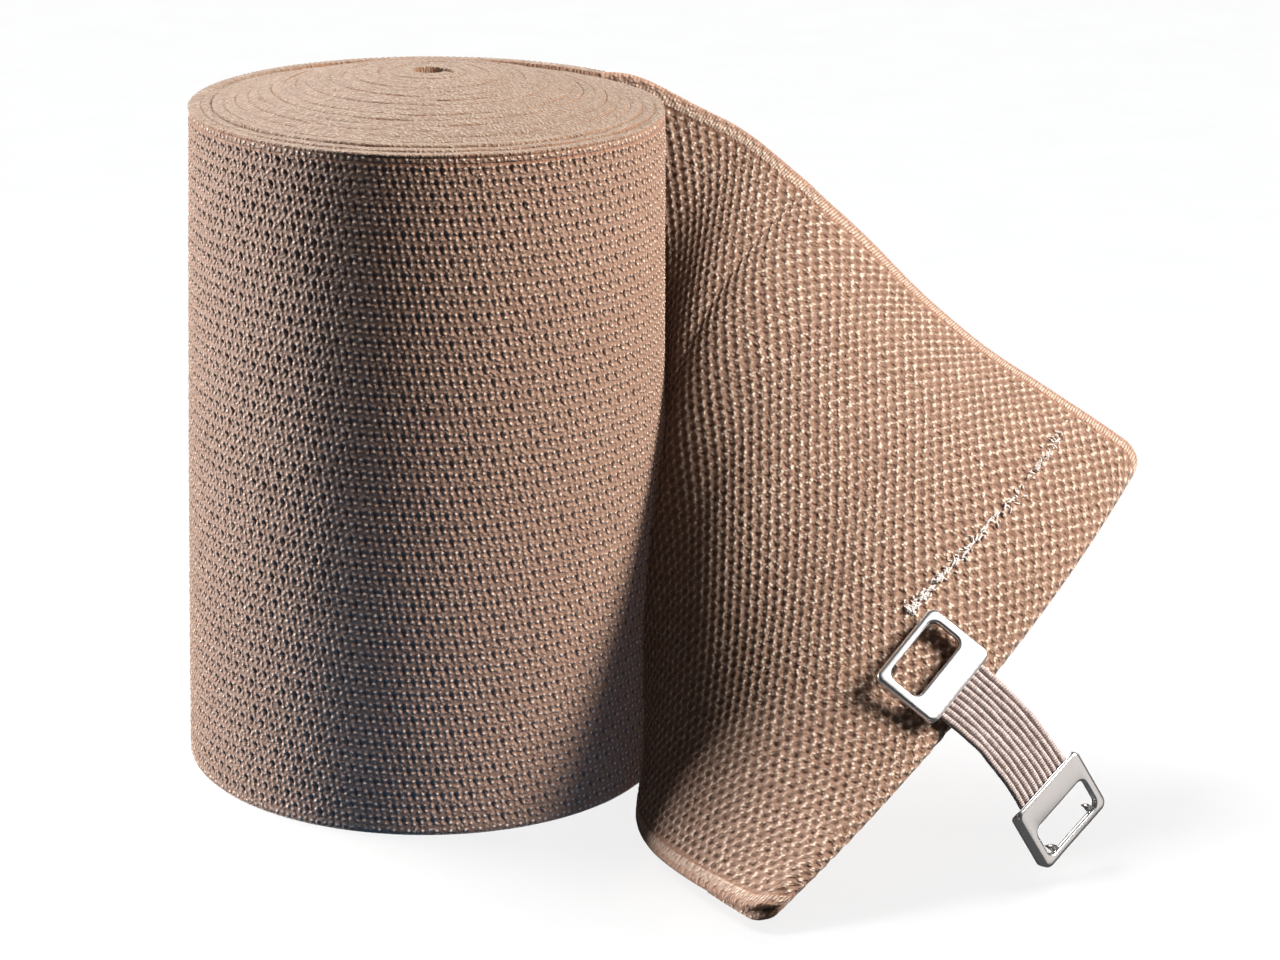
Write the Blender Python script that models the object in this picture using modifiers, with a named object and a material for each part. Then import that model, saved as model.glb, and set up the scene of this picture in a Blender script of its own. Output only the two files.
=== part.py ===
"""Elastic compression bandage wound as a roll that stands on end. Its free end is
laid open beside the roll, and an elastic clip with two metal plates hangs from it."""
import math
from collections import namedtuple

import bmesh
import bpy
from mathutils import Matrix, Vector

# Knitted strip, in metres
STRIP_WIDTH = 0.100
CLOTH = 0.0015
TURN_GAP = 0.0003
TURN_PITCH = CLOTH + TURN_GAP
JOINT_GAP = 0.0003

# Wound roll, in metres and degrees
ROLL_RADIUS = 0.0367
CORE_RADIUS = 0.0028
HEAD_TAPER = 0.056
DOME_HEIGHT = 0.0045
LEVEL_RIM = 0.0060
UPRIGHT_FOOT = 0.0010
LEAVING_ANGLE = 45.0
STEPS_PER_TURN = 28

# Free tail of the strip, in metres
FREE_LENGTH = 0.0650
TAIL_STEPS = 26
ACROSS_STEPS = 10
FLOOR_CLEARANCE = 0.0002
FLOOR_EASING_RUN = 0.003
CONTACT_EASING = 0.0014
CONTACT_EASING_RUN = 0.012
HEM_DEPTH = 0.012
HEM_CORNER = 0.0030
HEM_STEPS = (1.0, 0.75, 0.5, 0.25, 0.12, 0.04, 0.0)
FOLD_STEPS = 5
PATH_STEP = 0.0005

# Sections of the tail. place is -1 where the head leaves the roll, 0 where the foot
# does and 1 at the hemmed end. heading is the foot's way over the floor. lean is the
# section's tilt from upright, and bearing the side that it tilts to. arc is the angle
# through which the strip's width curves, and swing turns that bulge about the section.
# Angles are in degrees, and lift is the foot's height over the floor in metres.
Section = namedtuple("Section", "place heading lean bearing arc swing lift")
TAIL = (
    Section(-1.00, -45.0, -1.2, 46.0, 0.0, 0.0, 0.0),
    Section(-0.75, -58.0, 3.5, 46.0, 48.0, 0.0, 0.0),
    Section(-0.50, -71.0, 8.0, 48.0, 69.0, 0.0, 0.0),
    Section(0.00, -97.0, 19.0, 46.0, 94.0, 0.0, 0.0),
    Section(0.25, -100.5, 34.0, 43.0, 101.0, 17.0, 0.0),
    Section(0.50, -80.0, 46.5, 44.0, 84.0, 29.0, 0.0),
    Section(0.75, -61.0, 55.0, 46.5, 59.0, 40.0, 0.0010),
    Section(1.00, -50.0, 62.0, 48.5, 31.0, 68.0, 0.0018),
)

# Clip plates, in metres
PLATE_LENGTH = 0.0142
PLATE_DEPTH = 0.0106
PLATE_HEIGHT = 0.0018
SHEET = 0.00045
OUTER_WALL = 0.0010
PLATE_CORNER = 0.0011
PLATE_EDGE = 0.00035
WINDOW_LENGTH = 0.0110
WINDOW_DEPTH = 0.0052
WINDOW_BORDER = 0.0013
WINDOW_CORNER = 0.0011
TOOTH_SPACING = 0.0078
TOOTH_LENGTH = 0.0022
TOOTH_WIDTH = 0.0008
TOOTH_ROOT = 0.0004

# Clip elastic, in metres
CORD_COUNT = 10
CORD_PITCH = 0.00105
CORD_CREST = 0.00050
CORD_VALLEY = 0.00036
POINTS_PER_CORD = 3
ELASTIC_GAP = 0.0003
ELASTIC_TUCK = 0.0034
ELASTIC_SPAN = 0.0178
ELASTIC_STEPS = 12

# Clip's place on the tail, in metres and degrees
CLIP_FROM_END = 0.0064
CLIP_SHARE_OF_WIDTH = 0.435
CLIP_STAND_OFF = 0.0009
CLIP_BEND = 37.0
CLIP_YAW = -4.0

# Colours, roughness and metallic values
CLOTH_LOOK = ((0.56, 0.36, 0.24), 0.92, 0.0)
STEEL_LOOK = ((0.72, 0.72, 0.73), 0.22, 1.0)
ELASTIC_LOOK = ((0.55, 0.42, 0.40), 0.70, 0.0)


def clear_scene():
    for item in list(bpy.data.objects):
        bpy.data.objects.remove(item, do_unlink=True)


def make_collection(name):
    group = bpy.data.collections.new(name)
    bpy.context.scene.collection.children.link(group)
    return group


def make_material(name, look):
    colour, roughness, metallic = look
    material = bpy.data.materials.new(name)
    material.use_nodes = True
    shader = material.node_tree.nodes["Principled BSDF"]
    shader.inputs["Base Color"].default_value = (*colour, 1.0)
    shader.inputs["Roughness"].default_value = roughness
    shader.inputs["Metallic"].default_value = metallic
    return material


def make_object(name, bm, group, material=None):
    mesh = bpy.data.meshes.new(name)
    bm.to_mesh(mesh)
    bm.free()
    item = bpy.data.objects.new(name, mesh)
    group.objects.link(item)
    if material:
        mesh.materials.append(material)
    return item


def smooth_at(rows, place):
    """Section at a place, eased through the table's rows."""
    last = len(rows) - 1
    k = 0
    while k < last - 1 and place > rows[k + 1].place:
        k += 1
    before, low, high, after = (rows[min(max(k + d, 0), last)] for d in (-1, 0, 1, 2))
    span = high.place - low.place
    t = (place - low.place) / span
    values = []
    for a, b, c, d in zip(before, low, high, after):
        slope_low = (c - a) / (high.place - before.place) * span
        slope_high = (d - b) / (after.place - low.place) * span
        values.append(
            b * (1 + 2 * t) * (1 - t) ** 2
            + slope_low * t * (1 - t) ** 2
            + c * t * t * (3 - 2 * t)
            - slope_high * t * t * (1 - t)
        )
    return Section(*values)


def turn_radius(turned):
    """Mid-surface radius at the foot, after so many degrees inward from the tail."""
    return ROLL_RADIUS - TURN_PITCH * turned / 360.0


def tapered(radius, height):
    return radius * (1.0 - HEAD_TAPER * height / STRIP_WIDTH)


def dome_rise(radius):
    """Height by which a turn is pushed up out of the roll's level rim."""
    share = min(radius / (ROLL_RADIUS - LEVEL_RIM), 1.0)
    return DOME_HEIGHT * (1.0 - share * share)


def roll_stations():
    """Rows of the wound strip from the core outward. The foot is upright, to rest level."""
    stations = []
    step = 360.0 / STEPS_PER_TURN
    turned = 0.0
    while turn_radius(turned) > CORE_RADIUS:
        angle = math.radians(LEAVING_ANGLE + turned)
        radius = turn_radius(turned)
        way = Vector((math.cos(angle), math.sin(angle), 0.0))
        rise = dome_rise(radius)
        foot = way * radius + Vector((0.0, 0.0, rise))
        ankle = foot + Vector((0.0, 0.0, UPRIGHT_FOOT))
        head = way * tapered(radius, STRIP_WIDTH) + Vector((0.0, 0.0, rise + STRIP_WIDTH))
        stations.append((foot, ankle, head))
        turned += step
    return stations[::-1]


def hug_length():
    return math.radians(TAIL[0].heading - place_zero().heading) * ROLL_RADIUS


def place_zero():
    return next(row for row in TAIL if row.place == 0.0)


def tail_length():
    return hug_length() + FREE_LENGTH


def tail_section(run):
    """Section of the tail at a distance along its foot."""
    hug = hug_length()
    place = run / hug - 1.0 if run < hug else (run - hug) / FREE_LENGTH
    return smooth_at(TAIL, place)


def foot_point(run):
    """Foot of the tail after a distance, walked along its headings."""
    angle = math.radians(LEAVING_ANGLE)
    point = Vector((math.cos(angle), math.sin(angle), 0.0)) * ROLL_RADIUS
    count = max(1, round(run / PATH_STEP))
    step = run / count
    for i in range(count):
        heading = math.radians(tail_section((i + 0.5) * step).heading)
        point += Vector((math.cos(heading), math.sin(heading), 0.0)) * step
    return point


def keep_off_roll(point, run):
    """Eases a point of the tail out to the turn that the strip would add there."""
    angle = math.degrees(math.atan2(point.y, point.x))
    least = tapered(turn_radius(angle - LEAVING_ANGLE), point.z)
    radius = math.hypot(point.x, point.y)
    inside = least - radius
    easing = CONTACT_EASING * min(run / CONTACT_EASING_RUN, 1.0)
    push = (inside + math.hypot(inside, easing)) / 2
    return Vector((point.x, point.y, 0.0)) * (push / radius) + point


def tail_point(run, share):
    """Mid-surface of the tail, at a distance along it and a share of its width."""
    section = tail_section(run)
    lean = math.radians(section.lean)
    bearing = math.radians(section.bearing)
    arc = math.radians(max(section.arc, 0.01))
    swing = math.radians(section.swing)
    chord = Vector(
        (
            math.sin(lean) * math.cos(bearing),
            math.sin(lean) * math.sin(bearing),
            math.cos(lean),
        )
    )
    side = Vector((math.sin(bearing), -math.cos(bearing), 0.0))
    bulge = side.cross(chord) * math.cos(swing) + side * math.sin(swing)
    bend_radius = STRIP_WIDTH / arc
    along = bend_radius * (math.sin(arc / 2) + math.sin(arc * (share - 0.5)))
    out = bend_radius * (math.cos(arc * (share - 0.5)) - math.cos(arc / 2))
    clearance = FLOOR_CLEARANCE * min(max(run, 0.0) / FLOOR_EASING_RUN, 1.0)
    base = section.lift + clearance + CLOTH / 2 * abs(math.sin(lean))
    point = foot_point(run) + Vector((0.0, 0.0, base)) + chord * along + bulge * out
    return keep_off_roll(point, max(run, 0.0))


def tail_frame(run, share):
    """Place, run direction, width direction and inner normal of the tail's surface."""
    step = 2 * PATH_STEP
    edge = step / STRIP_WIDTH
    middle = tail_point(run, share)
    along = (tail_point(run + step, share) - tail_point(run - step, share)).normalized()
    across = (tail_point(run, share + edge) - tail_point(run, share - edge)).normalized()
    normal = along.cross(across).normalized()
    across = normal.cross(along)
    return middle, along, across, normal


def corner_inset(from_end):
    """Share of the width that the rounded hem corner takes off each edge."""
    inside = max(HEM_CORNER - from_end, 0.0)
    return (HEM_CORNER - math.sqrt(HEM_CORNER**2 - inside**2)) / STRIP_WIDTH


def tail_row(run, offset=0.0, ahead=0.0):
    """One row of points across the tail, moved outward and ahead of its surface."""
    inset = corner_inset(tail_length() - run)
    row = []
    for j in range(ACROSS_STEPS + 1):
        share = inset + (1.0 - 2.0 * inset) * j / ACROSS_STEPS
        if offset or ahead:
            middle, along, _, normal = tail_frame(run, share)
            row.append(middle - normal * offset + along * ahead)
        else:
            row.append(tail_point(run, share))
    return row


def tail_rows():
    """Rows of the tail from the roll to the hem, round its fold and back under it."""
    length = tail_length()
    body = length - HEM_DEPTH
    step = (body - JOINT_GAP) / TAIL_STEPS
    rows = [tail_row(JOINT_GAP + step * i) for i in range(TAIL_STEPS)]
    hem_runs = [length - HEM_DEPTH * share for share in HEM_STEPS]
    rows += [tail_row(run) for run in hem_runs]
    fold_radius = TURN_PITCH / 2
    for i in range(1, FOLD_STEPS):
        angle = math.pi * i / FOLD_STEPS
        offset = fold_radius * (1.0 - math.cos(angle))
        rows.append(tail_row(length, offset, fold_radius * math.sin(angle)))
    rows += [tail_row(run, TURN_PITCH) for run in reversed(hem_runs)]
    return rows


def make_cloth(name, rows, group, material):
    """Strip of cloth through rows of points, thickened evenly on both sides."""
    bm = bmesh.new()
    grid = [[bm.verts.new(point) for point in row] for row in rows]
    for near, far in zip(grid, grid[1:]):
        for j in range(len(near) - 1):
            bm.faces.new((near[j], far[j], far[j + 1], near[j + 1]))
    item = make_object(name, bm, group, material)
    shell = item.modifiers.new("thickness", "SOLIDIFY")
    shell.thickness = CLOTH
    shell.offset = 0.0
    shell.use_even_offset = True
    shell.use_quality_normals = True
    return item


def make_box(low, high, corner=0.0, edge=0.0):
    """Box between two corners, with rounded upright edges and top edges."""
    bm = bmesh.new()
    bmesh.ops.create_cube(bm, size=1.0)
    size = Vector(high) - Vector(low)
    centre = (Vector(high) + Vector(low)) / 2
    bmesh.ops.scale(bm, vec=size, verts=bm.verts)
    bmesh.ops.translate(bm, vec=centre, verts=bm.verts)
    if corner:
        upright = [e for e in bm.edges if abs(e.verts[0].co.z - e.verts[1].co.z) > size.z / 2]
        bmesh.ops.bevel(bm, geom=upright, offset=corner, segments=4, profile=0.5, affect="EDGES")
    if edge:
        top = [e for e in bm.edges if min(v.co.z for v in e.verts) > high[2] - edge / 2]
        bmesh.ops.bevel(bm, geom=top, offset=edge, segments=2, profile=0.5, affect="EDGES")
    return bm


def add_boolean(item, cutter, operation):
    modifier = item.modifiers.new(cutter.name, "BOOLEAN")
    modifier.operation = operation
    modifier.solver = "EXACT"
    modifier.object = cutter


def make_helper(name, bm, group):
    """Shape that only cuts or joins another, and is no part of its own."""
    item = make_object(name, bm, group)
    item.hide_render = True
    item.display_type = "WIRE"
    return item


def make_tooth():
    """Pointed tooth that hangs from the sheet beside the window's outer edge."""
    bm = bmesh.new()
    bmesh.ops.create_cone(
        bm,
        cap_ends=True,
        segments=8,
        radius1=TOOTH_WIDTH / 8,
        radius2=TOOTH_WIDTH / 2,
        depth=TOOTH_LENGTH,
    )
    return bm


def make_plate(name, group, helpers, material):
    """Pressed sheet plate with its open elastic side at +X and its teeth below."""
    half_depth = PLATE_DEPTH / 2
    half_length = PLATE_LENGTH / 2
    outer = make_box(
        (-half_depth, -half_length, 0.0),
        (half_depth, half_length, PLATE_HEIGHT),
        PLATE_CORNER,
        PLATE_EDGE,
    )
    plate = make_object(name, outer, group, material)
    under = PLATE_HEIGHT - SHEET
    hollow = make_box(
        (SHEET - half_depth, SHEET - half_length, -PLATE_HEIGHT),
        (PLATE_DEPTH, half_length - SHEET, under),
    )
    notch = make_box(
        (-PLATE_DEPTH, PLATE_CORNER - half_length, -PLATE_HEIGHT),
        (0.0, half_length - PLATE_CORNER, PLATE_HEIGHT - OUTER_WALL),
    )
    window_start = WINDOW_BORDER - half_depth
    window = make_box(
        (window_start, -WINDOW_LENGTH / 2, -PLATE_HEIGHT),
        (window_start + WINDOW_DEPTH, WINDOW_LENGTH / 2, 2 * PLATE_HEIGHT),
        WINDOW_CORNER,
    )
    made = [plate]
    for label, shape in (("hollow", hollow), ("notch", notch), ("window", window)):
        cutter = make_helper(f"{name}_{label}", shape, helpers)
        add_boolean(plate, cutter, "DIFFERENCE")
        made.append(cutter)
    for side in (-1, 1):
        tooth = make_tooth()
        place = Vector((TOOTH_ROOT + SHEET - half_depth, side * TOOTH_SPACING / 2, under))
        place.z += SHEET / 2 - TOOTH_LENGTH / 2
        bmesh.ops.translate(tooth, vec=place, verts=tooth.verts)
        joined = make_helper(f"{name}_tooth_{'left' if side < 0 else 'right'}", tooth, helpers)
        add_boolean(plate, joined, "UNION")
        made.append(joined)
    return made


def elastic_outline():
    """Closed outline of the cords side by side, in width and thickness."""
    count = CORD_COUNT * POINTS_PER_CORD
    half = CORD_COUNT * CORD_PITCH / 2
    top = []
    for i in range(count + 1):
        share = (i % POINTS_PER_CORD) / POINTS_PER_CORD
        height = CORD_VALLEY + (CORD_CREST - CORD_VALLEY) * math.sin(math.pi * share) ** 0.5
        top.append((-half + i * CORD_PITCH / POINTS_PER_CORD, height))
    return top + [(across, -height) for across, height in reversed(top)]


def elastic_stations():
    """Frames along the elastic, from under the near plate to under the far one."""
    middle = PLATE_HEIGHT - SHEET - ELASTIC_GAP - CORD_CREST
    frame = Matrix.Translation((PLATE_DEPTH / 2 - ELASTIC_TUCK, 0.0, middle))
    frames = [frame.copy()]
    frame = frame @ Matrix.Translation((ELASTIC_TUCK, 0.0, 0.0))
    frames.append(frame.copy())
    half_step = math.radians(0.5 / ELASTIC_STEPS)
    bend = Matrix.Rotation(CLIP_BEND * half_step, 4, "Y")
    turn = bend @ Matrix.Rotation(CLIP_YAW * half_step, 4, "Z")
    ahead = Matrix.Translation((ELASTIC_SPAN / ELASTIC_STEPS, 0.0, 0.0))
    for _ in range(ELASTIC_STEPS):
        frame = frame @ turn @ ahead @ turn
        frames.append(frame.copy())
    frames.append(frame @ Matrix.Translation((ELASTIC_TUCK, 0.0, 0.0)))
    return frames


def make_elastic(group, material):
    """Ribbed elastic band, its outline carried along the bend between the plates."""
    bm = bmesh.new()
    rings = []
    for frame in elastic_stations():
        ring = [bm.verts.new(frame @ Vector((0.0, y, z))) for y, z in elastic_outline()]
        rings.append(ring)
    for near, far in zip(rings, rings[1:]):
        for i in range(len(near)):
            j = (i + 1) % len(near)
            bm.faces.new((near[i], far[i], far[j], near[j]))
    bm.faces.new(rings[0])
    bm.faces.new(reversed(rings[-1]))
    bmesh.ops.recalc_face_normals(bm, faces=bm.faces)
    return make_object("clip_elastic", bm, group, material)


def clip_frame():
    """Frame of the near plate: +X along the tail, +Z off its inner face."""
    run = tail_length() - CLIP_FROM_END
    middle, along, across, normal = tail_frame(run, CLIP_SHARE_OF_WIDTH)
    place = middle + normal * (CLOTH / 2 + CLIP_STAND_OFF)
    rotation = Matrix((along, across, normal)).transposed().to_4x4()
    return Matrix.Translation(place) @ rotation


def far_plate_frame():
    """Frame of the far plate, in the near plate's frame: turned round to face it."""
    end = elastic_stations()[-2]
    middle = PLATE_HEIGHT - SHEET - ELASTIC_GAP - CORD_CREST
    centre = Matrix.Translation((PLATE_DEPTH / 2, 0.0, -middle))
    return end @ centre @ Matrix.Rotation(math.pi, 4, "Z")


def rest_on_origin(group, everything):
    """Moves all to stand on the floor with the outline's middle over the origin."""
    bpy.context.view_layer.update()
    graph = bpy.context.evaluated_depsgraph_get()
    corners = []
    for item in group.objects:
        solid = item.evaluated_get(graph)
        mesh = solid.to_mesh()
        corners += [solid.matrix_world @ v.co for v in mesh.vertices]
        solid.to_mesh_clear()
    lows = [min(c[axis] for c in corners) for axis in range(3)]
    highs = [max(c[axis] for c in corners) for axis in range(3)]
    shift = Vector((-(lows[0] + highs[0]) / 2, -(lows[1] + highs[1]) / 2, -lows[2]))
    for item in everything:
        item.matrix_world = Matrix.Translation(shift) @ item.matrix_world


def main():
    clear_scene()
    group = make_collection("compression_bandage")
    helpers = make_collection("cutters")
    steel = make_material("polished_steel", STEEL_LOOK)
    knit = make_material("knitted_cloth", CLOTH_LOOK)
    cloths = [
        make_cloth("bandage_roll", roll_stations(), group, knit),
        make_cloth("bandage_tail", tail_rows(), group, knit),
    ]
    near = make_plate("near_clip_plate", group, helpers, steel)
    far = make_plate("far_clip_plate", group, helpers, steel)
    elastic = make_elastic(group, make_material("elastic_cord", ELASTIC_LOOK))
    clip = clip_frame()
    for item in [*near, elastic]:
        item.matrix_world = clip
    for item in far:
        item.matrix_world = clip @ far_plate_frame()
    rest_on_origin(group, [*cloths, elastic, *near, *far])


main()
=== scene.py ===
"""Looks of an elastic compression bandage: a roll standing on end with its tail laid
open beside it, and an elastic clip with two metal plates near the tail's hem."""
import math
from collections import namedtuple

import bpy
import numpy as np
from mathutils import Matrix, Vector


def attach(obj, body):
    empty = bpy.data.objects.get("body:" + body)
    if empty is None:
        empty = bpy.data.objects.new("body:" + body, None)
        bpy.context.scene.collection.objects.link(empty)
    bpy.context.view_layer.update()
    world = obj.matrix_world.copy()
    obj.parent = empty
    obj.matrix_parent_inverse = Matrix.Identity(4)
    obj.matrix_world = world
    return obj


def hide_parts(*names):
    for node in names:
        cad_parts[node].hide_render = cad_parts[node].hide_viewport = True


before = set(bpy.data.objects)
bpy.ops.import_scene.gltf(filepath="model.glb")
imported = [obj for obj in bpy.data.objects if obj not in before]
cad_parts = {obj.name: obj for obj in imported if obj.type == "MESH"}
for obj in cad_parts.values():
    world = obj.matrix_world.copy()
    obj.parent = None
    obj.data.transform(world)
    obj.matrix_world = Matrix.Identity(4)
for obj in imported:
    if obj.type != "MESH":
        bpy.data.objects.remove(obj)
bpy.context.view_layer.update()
MM = 0.001
FULL_TURN = 6.283


def new_group(name, parent):
    """Collection that lamps can be kept to."""
    group = bpy.data.collections.new(name)
    parent.children.link(group)
    return group


DRESSED = new_group("dressed", bpy.context.scene.collection)
GROUND = new_group("ground", bpy.context.scene.collection)
STEEL = new_group("steel", DRESSED)
CLOTH = new_group("cloth", DRESSED)
ROLL = new_group("roll", CLOTH)

# Roll and strip, in millimetres and degrees
AXIS = np.array((-34.4696, 13.9348, 0.0))
STRIP_WIDTH = 100.0
HALF_CLOTH = 0.75
TURN_PITCH = 1.8
ROLL_RADIUS = 36.7
CORE_RADIUS = 2.8
HEAD_TAPER = 0.056
DOME_HEIGHT = 4.5
LEVEL_RIM = 6.0
LEAVING_ANGLE = 45.0
SETTLED_DEPTH = 0.6
SETTLED_TURNS = 2.7

# Outer face of the outermost turn, in degrees turned and millimetres of mesh. Its top and
# bottom rows are tucked in behind the rest.
WRAP_SPAN = (0.5, 99.35)
WRAP_ENDS = (0.2, 99.6)
WRAP_TUCK = 0.4
Wrap = namedtuple("Wrap", "name start stop cell")
WRAPS = (
    Wrap("wrap_back", 0.0, 133.0, 0.5),
    Wrap("wrap_left", 133.0, 226.0, 0.27),
    Wrap("wrap_front", 226.0, 319.0, 0.27),
    Wrap("wrap_right", 319.0, 363.0, 0.4),
)

# Open tail, in millimetres and degrees, with the sections that the CAD part has
FREE_LENGTH = 65.0
FLOOR_CLEARANCE = 0.2
FLOOR_EASING_RUN = 3.0
CONTACT_EASING = 1.4
CONTACT_EASING_RUN = 12.0
HEM_DEPTH = 12.0
HEM_CORNER = 3.0
FOLD_RADIUS = 0.9
FOLD_LENGTH = math.pi * FOLD_RADIUS
START_OVERLAP = 0.9
Section = namedtuple("Section", "place heading lean bearing arc swing lift")
TAIL = (
    Section(-1.00, -45.0, -1.2, 46.0, 0.0, 0.0, 0.0),
    Section(-0.75, -58.0, 3.5, 46.0, 48.0, 0.0, 0.0),
    Section(-0.50, -71.0, 8.0, 48.0, 69.0, 0.0, 0.0),
    Section(0.00, -97.0, 19.0, 46.0, 94.0, 0.0, 0.0),
    Section(0.25, -100.5, 34.0, 43.0, 101.0, 17.0, 0.0),
    Section(0.50, -80.0, 46.5, 44.0, 84.0, 29.0, 0.0),
    Section(0.75, -61.0, 55.0, 46.5, 59.0, 40.0, 1.0),
    Section(1.00, -50.0, 62.0, 48.5, 31.0, 68.0, 1.8),
)

# Knit, in millimetres: a stitch along the strip, a row across it, how many rows there
# are between the plain edges, and the share of a stitch that each row is shifted by
Knit = namedtuple("Knit", "stitch row rows shift")
OUTER = Knit(2.08, 1.906, 51, 1 / 3)
INNER = Knit(1.74, 1.350, 72, 1 / 2)
EDGE = 1.4
SELVEDGE = 0.85

# Loops round a hole of the outer face, in shares of a stitch and a row from its middle
Loop = namedtuple("Loop", "along across height")
LOOPS = (
    Loop(-0.29, 0.20, 1.0),
    Loop(0.22, 0.30, 0.7),
    Loop(0.29, -0.16, 1.0),
    Loop(-0.22, -0.28, 0.6),
)

# White thread of the hem and its lint, in millimetres
STITCH_PITCH = 1.9
STITCH_SPAN = (50.0, 96.0)
STITCH_FROM_HEM = 0.9
STITCH_SLANT = 0.09
SLANT_START = 75.0
LINT_COUNT = 150
LINT_RADIUS = 0.15

# Clip, in millimetres and degrees
PLATE_LENGTH = 14.2
PLATE_DEPTH = 10.6
PLATE_HEIGHT = 1.8
SHEET = 0.45
PLATE_CORNER = 1.3
WINDOW = (-1.4, 2.6, 5.5, 1.2)
TOOTH_ASIDE = 4.1
Tooth = namedtuple("Tooth", "x y z half_width")
TOOTH = (
    Tooth(-4.05, 0.0, 1.55, 0.62),
    Tooth(-3.70, 0.0, 1.35, 0.56),
    Tooth(-3.35, 0.10, 0.85, 0.42),
    Tooth(-3.30, 0.15, 0.25, 0.22),
    Tooth(-3.42, 0.16, -0.30, 0.03),
)
CORD_COUNT = 10
CORD_PITCH = 1.05
CORD_RADIUS = 0.5
CORD_STEPS = 56
CORD_SIDES = 14
CORD_LEVEL = PLATE_HEIGHT - SHEET - 0.3 - CORD_RADIUS
ELASTIC_TUCK = 3.4
ELASTIC_SPAN = 17.8
CLIP_FROM_END = 6.4
CLIP_SHARE = 0.435
CLIP_STAND_OFF = 0.9
CLIP_BEND = 37.0
CLIP_YAW = -4.0


# Strip's surface

def eased_sections(place):
    """Table values at an array of places, eased through the rows."""
    rows = np.array(TAIL)
    last = len(rows) - 1
    k = np.clip(np.searchsorted(rows[:, 0], place, side="left") - 1, 0, last - 1)
    a, b, c, d = (rows[np.clip(k + i, 0, last)] for i in (-1, 0, 1, 2))
    span = (c - b)[:, :1]
    t = (place[:, None] - b[:, :1]) / span
    low = (c - a) / (c[:, :1] - a[:, :1]) * span
    high = (d - b) / (d[:, :1] - b[:, :1]) * span
    return (
        b * (1 + 2 * t) * (1 - t) ** 2
        + low * t * (1 - t) ** 2
        + c * t * t * (3 - 2 * t)
        - high * t * t * (1 - t)
    )[:, 1:]


HUG_LENGTH = math.radians(TAIL[0].heading - TAIL[3].heading) * ROLL_RADIUS
TAIL_LENGTH = HUG_LENGTH + FREE_LENGTH


def sections(run):
    place = np.where(run < HUG_LENGTH, run / HUG_LENGTH - 1.0, (run - HUG_LENGTH) / FREE_LENGTH)
    return eased_sections(place)


def foot_path(run):
    """Foot of the tail at an array of distances along it."""
    fine = np.arange(0.0, TAIL_LENGTH + 2.0, 0.25)
    heading = np.radians(sections(fine[:-1] + 0.125)[:, 0])
    start = math.radians(LEAVING_ANGLE)
    x = ROLL_RADIUS * math.cos(start) + np.concatenate(([0.0], np.cumsum(np.cos(heading) * 0.25)))
    y = ROLL_RADIUS * math.sin(start) + np.concatenate(([0.0], np.cumsum(np.sin(heading) * 0.25)))
    before = np.minimum(run, 0.0)
    first = math.radians(TAIL[0].heading)
    return np.stack(
        (
            np.interp(run, fine, x) + before * math.cos(first),
            np.interp(run, fine, y) + before * math.sin(first),
            np.zeros_like(run),
        ),
        -1,
    )


def turn_radius(turned):
    return ROLL_RADIUS - TURN_PITCH * turned / 360.0


def tapered(radius, height):
    return radius * (1.0 - HEAD_TAPER * height / STRIP_WIDTH)


def tail_surface(run, share):
    """Middle of the tail's cloth at runs (n) and shares of the width (n or 1, m)."""
    values = sections(run)
    lean, bearing, arc, swing = (np.radians(values[:, i])[:, None] for i in (1, 2, 3, 4))
    lift = values[:, 5][:, None]
    arc = np.maximum(arc, 0.0002)
    chord = np.stack((np.sin(lean) * np.cos(bearing), np.sin(lean) * np.sin(bearing), np.cos(lean)), -1)
    side = np.stack((np.sin(bearing), -np.cos(bearing), np.zeros_like(bearing)), -1)
    bulge = np.cross(side, chord) * np.cos(swing)[..., None] + side * np.sin(swing)[..., None]
    bend = STRIP_WIDTH / arc
    along = bend * (np.sin(arc / 2) + np.sin(arc * (share - 0.5)))
    out = bend * (np.cos(arc * (share - 0.5)) - np.cos(arc / 2))
    inside = np.maximum(run, 0.0)[:, None]
    ease = np.minimum(inside / CONTACT_EASING_RUN, 1.0)
    clearance = FLOOR_CLEARANCE * np.minimum(inside / FLOOR_EASING_RUN, 1.0)
    base = lift + clearance + HALF_CLOTH * np.abs(np.sin(lean))
    point = foot_path(run)[:, None, :] + chord * along[..., None] + bulge * out[..., None]
    point[..., 2] += base
    angle = np.degrees(np.arctan2(point[..., 1], point[..., 0]))
    least = tapered(turn_radius(angle - LEAVING_ANGLE), point[..., 2])
    radius = np.hypot(point[..., 0], point[..., 1])
    gap = least - radius
    push = (gap + np.hypot(gap, CONTACT_EASING * ease)) / 2
    point[..., :2] *= (1.0 + push / radius)[..., None]
    return point


def spaced(start, stop, cell):
    """Even steps from start to stop, each about as long as a cell."""
    return np.linspace(start, stop, round((stop - start) / cell) + 1)


def unit(vectors):
    return vectors / np.linalg.norm(vectors, axis=-1, keepdims=True)


def tail_frames(run, share):
    """Middle, run direction, width direction and inner normal over a grid."""
    middle = tail_surface(run, share)
    along = unit(tail_surface(run + 1.0, share) - tail_surface(run - 1.0, share))
    across = unit(tail_surface(run, share + 0.01) - tail_surface(run, share - 0.01))
    normal = unit(np.cross(along, across))
    return middle, along, np.cross(normal, along), normal


# Knit relief

def ramp(value, low, high):
    t = np.clip((value - low) / (high - low), 0.0, 1.0)
    return t * t * (3 - 2 * t)


def stitch_cell(u, v, knit):
    """Place inside a stitch, from its middle."""
    row = np.floor(v)
    along = u - row * knit.shift
    return along - np.floor(along) - 0.5, v - row - 0.5


def blob(x, y, core, rim):
    """1 inside an oval of radius 1, falling to 0 at its rim."""
    return 1.0 - ramp(np.hypot(x, y), core, rim)


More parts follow.
